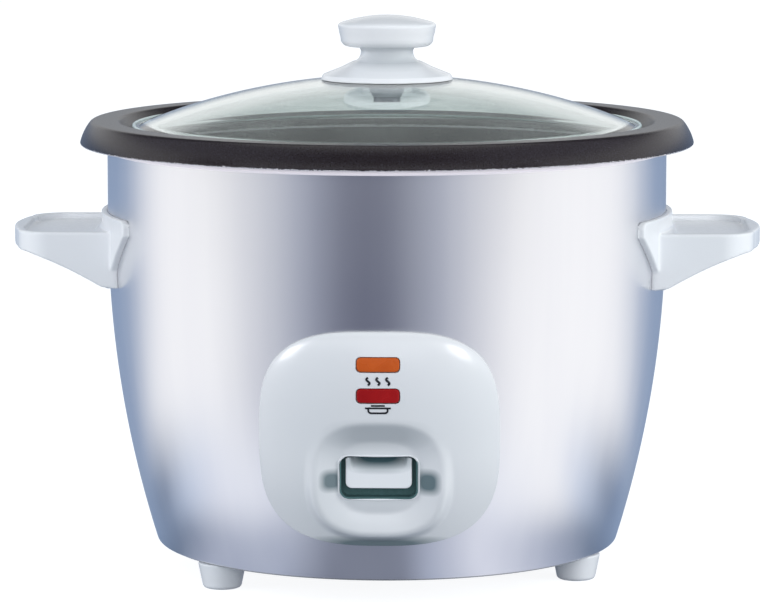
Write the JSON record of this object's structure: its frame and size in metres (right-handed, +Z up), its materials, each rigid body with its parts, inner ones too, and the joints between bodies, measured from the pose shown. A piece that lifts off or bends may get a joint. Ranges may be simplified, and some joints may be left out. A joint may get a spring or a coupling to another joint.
{
  "type": "rice cooker",
  "caption": "Rice cooker with a lift-out pot, a domed glass lid, two side handles and a one-lever cook and keep-warm control.",
  "frame": {"origin": "on the table, in the middle of the body's round outline", "axes": "+Z up, +X to the right handle, -Y to the control panel"},
  "size_m": [0.344, 0.2832, 0.2563],
  "materials": {
    "silver_body": "satin silver lacquer with a fine metallic grain",
    "liner_metal": "plain rolled sheet",
    "base_metal": "grey, semi-matt",
    "cast_aluminium": "cast, turned top",
    "heater_sheath": "oxidised",
    "zinc_steel": "zinc plated",
    "steel_screw": "nickel plated",
    "spring_steel": "drawn wire",
    "brass_parts": "plain",
    "plated_pins": "nickel plated",
    "white_plastic": "moulded, glossy, cool white",
    "white_matte": "moulded, plain",
    "dark_gloss_plastic": "moulded, glossy, dark green-black",
    "black_plastic": "moulded, fine grain",
    "red_plastic": "moulded",
    "amber_lens": "translucent amber lens",
    "red_lens": "translucent red lens",
    "lamp_glass": "clear",
    "white_ceramic": "unglazed",
    "tan_ceramic": "unglazed",
    "dark_ferrite": "sintered",
    "pot_coating": "dark non-stick coating with a fine speckle",
    "tinted_glass": "tempered, pale green",
    "lead_sleeve": "braided glass sleeve"
  },
  "bodies": {
    "housing": {"outer_body": "silver_body", "inner_liner": "liner_metal", "base_plate": "base_metal", "foot_left": "white_plastic", "foot_right": "white_plastic", "foot_rear": "white_plastic", "foot_screws": "steel_screw", "heating_plate": "cast_aluminium", "heater_element": "heater_sheath", "heater_insulators": "white_ceramic", "plate_screws": "steel_screw", "thermostat_bracket": "zinc_steel", "thermostat_spring": "spring_steel", "lever_bracket": "zinc_steel", "pivot_pin": "steel_screw", "lever_spring": "spring_steel", "lever_well": "dark_gloss_plastic", "switch_housing": "black_plastic", "switch_terminals": "brass_parts", "keep_warm_thermostat": "tan_ceramic", "thermal_fuse": "tan_ceramic", "control_panel": "white_plastic", "warm_lens": "amber_lens", "cook_lens": "red_lens", "lamp_holder": "white_matte", "neon_lamps": "lamp_glass", "panel_screws": "steel_screw", "inlet_socket": "black_plastic", "inlet_pins": "plated_pins", "inlet_screws": "steel_screw", "handle_left": "white_plastic", "handle_right": "white_plastic", "handle_screws": "steel_screw", "lead_wires": "lead_sleeve"},
    "pot": {"inner_pot": "pot_coating"},
    "lid": {"lid_glass": "tinted_glass", "lid_knob": "white_plastic", "lid_washer": "white_matte", "lid_collar": "steel_screw", "lid_screw": "steel_screw", "vent_eyelet": "steel_screw"},
    "lever": {"rocker_arm": "zinc_steel", "cook_lever": "white_plastic"},
    "magnet_rod": {"magnet": "dark_ferrite", "magnet_rod": "brass_parts", "rod_clip": "steel_screw"},
    "thermostat": {"thermostat_cup": "liner_metal", "thermostat_ferrite": "dark_ferrite"},
    "switch_button": {"switch_plunger": "red_plastic"}
  },
  "joints": [
    {"name": "pot_lift", "type": "slide", "parent": "housing", "child": "pot", "axis": [0, 0, 1], "range_m": [0, 0.16]},
    {"name": "lid_lift", "type": "slide", "parent": "pot", "child": "lid", "axis": [0, 0, 1], "range_m": [0, 0.1]},
    {"name": "lever_press", "type": "hinge", "parent": "housing", "child": "lever", "pos_m": [0, -0.066, 0.0395], "axis": [1, 0, 0], "range_deg": [0, 3.8], "stiffness_Nm_per_rad": 1, "springref_deg": -11.46, "deforming": ["lever_spring"]},
    {"name": "magnet_rise", "type": "slide", "parent": "housing", "child": "magnet_rod", "axis": [0, 0, 1], "range_m": [0, 0.00442]},
    {"name": "thermostat_rise", "type": "slide", "parent": "housing", "child": "thermostat", "axis": [0, 0, 1], "range_m": [0, 0.00303], "deforming": ["thermostat_spring"]},
    {"name": "switch_press", "type": "slide", "parent": "housing", "child": "switch_button", "axis": [0, 0, -1], "range_m": [0, 0.000938]}
  ],
  "couplings": [
    {"joint": "magnet_rise", "follows": "lever_press", "m_per_rad": 0.066},
    {"joint": "switch_press", "follows": "lever_press", "m_per_rad": 0.014},
    {"joint": "thermostat_rise", "follows": "pot_lift", "ratio": 0.01875}
  ]
}
